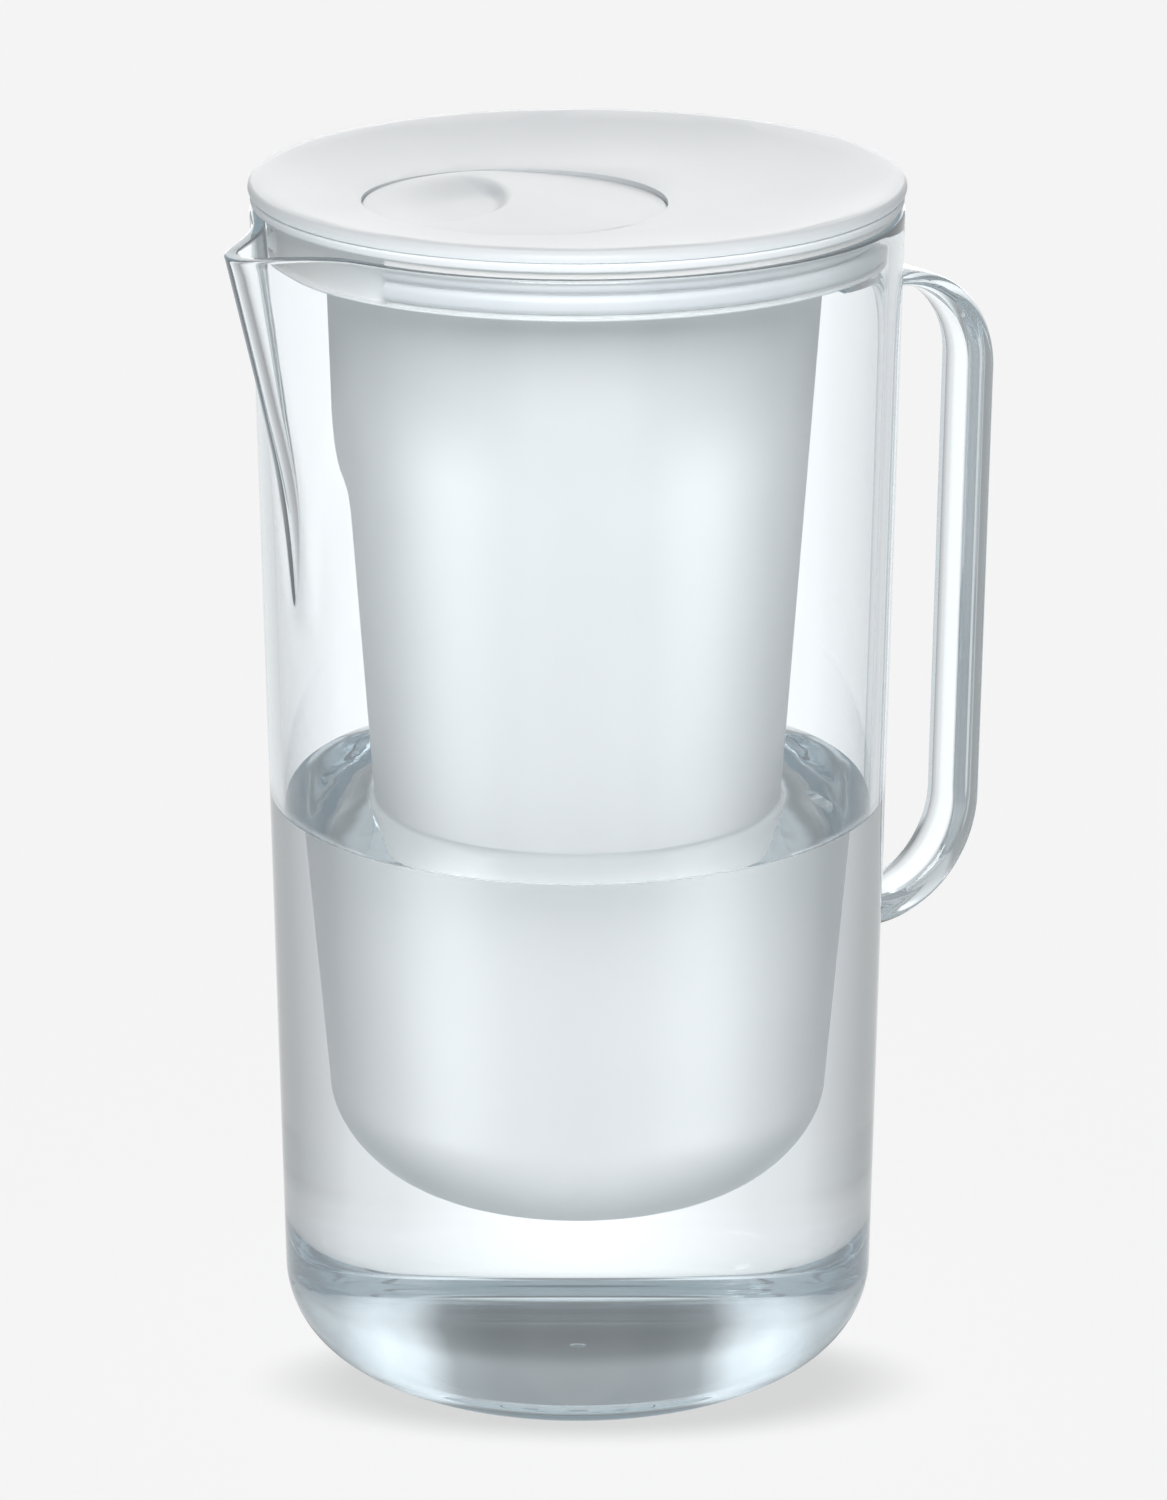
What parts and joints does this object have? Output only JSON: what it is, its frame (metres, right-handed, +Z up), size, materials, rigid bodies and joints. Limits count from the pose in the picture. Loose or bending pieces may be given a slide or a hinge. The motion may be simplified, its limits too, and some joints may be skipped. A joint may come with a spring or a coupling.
{
  "type": "water filter pitcher",
  "caption": "Clear water jug with a pouring beak and strap handle, a frosted hanging hopper with a filter cartridge, and a dished lid with a rocking filler flap.",
  "frame": {"origin": "centre of the jug's flat base, on the surface that it stands on", "axes": "+Z up along the jug's axis, -X towards the beak, +X towards the handle; the XZ plane is the mirror plane"},
  "size_m": [0.1837, 0.136, 0.2581],
  "materials": {
    "clear_plastic": "clear, polished",
    "frosted_plastic": "frosted, translucent",
    "seal_silicone": "smooth white silicone",
    "white_plastic": "satin white",
    "cartridge_white": "satin moulded",
    "cartridge_blue": "satin moulded",
    "screen_nylon": "fine woven mesh",
    "carbon": "loose granules",
    "felt": "needled felt",
    "resin": "loose beads",
    "grey_silicone": "smooth silicone"
  },
  "bodies": {
    "jug": {"pitcher_body": "clear_plastic", "handle": "clear_plastic"},
    "hopper": {"hopper": "frosted_plastic", "rim_seal": "seal_silicone"},
    "lid": {"lid_cover": "white_plastic", "lid_liner": "white_plastic"},
    "flap": {"flip_lid": "white_plastic"},
    "cartridge": {"cartridge_shell": "cartridge_white", "cartridge_cap": "cartridge_blue", "pull_tab": "cartridge_blue", "upper_screen": "screen_nylon", "carbon_bed": "carbon", "divider_felt": "felt", "resin_bed": "resin", "lower_screen": "screen_nylon", "cartridge_seal": "grey_silicone"}
  },
  "joints": [
    {"name": "hopper_lift", "type": "slide", "parent": "jug", "child": "hopper", "axis": [0, 0, 1], "range_m": [0, 0.21]},
    {"name": "lid_lift", "type": "slide", "parent": "hopper", "child": "lid", "axis": [0, 0, 1], "range_m": [0, 0.12]},
    {"name": "flap_hinge", "type": "hinge", "parent": "lid", "child": "flap", "pos_m": [-0.0075, 0, 0.2522], "axis": [0, 1, 0], "range_deg": [0, 80]},
    {"name": "cartridge_lift", "type": "slide", "parent": "hopper", "child": "cartridge", "axis": [0, 0, 1], "range_m": [0, 0.072]}
  ]
}
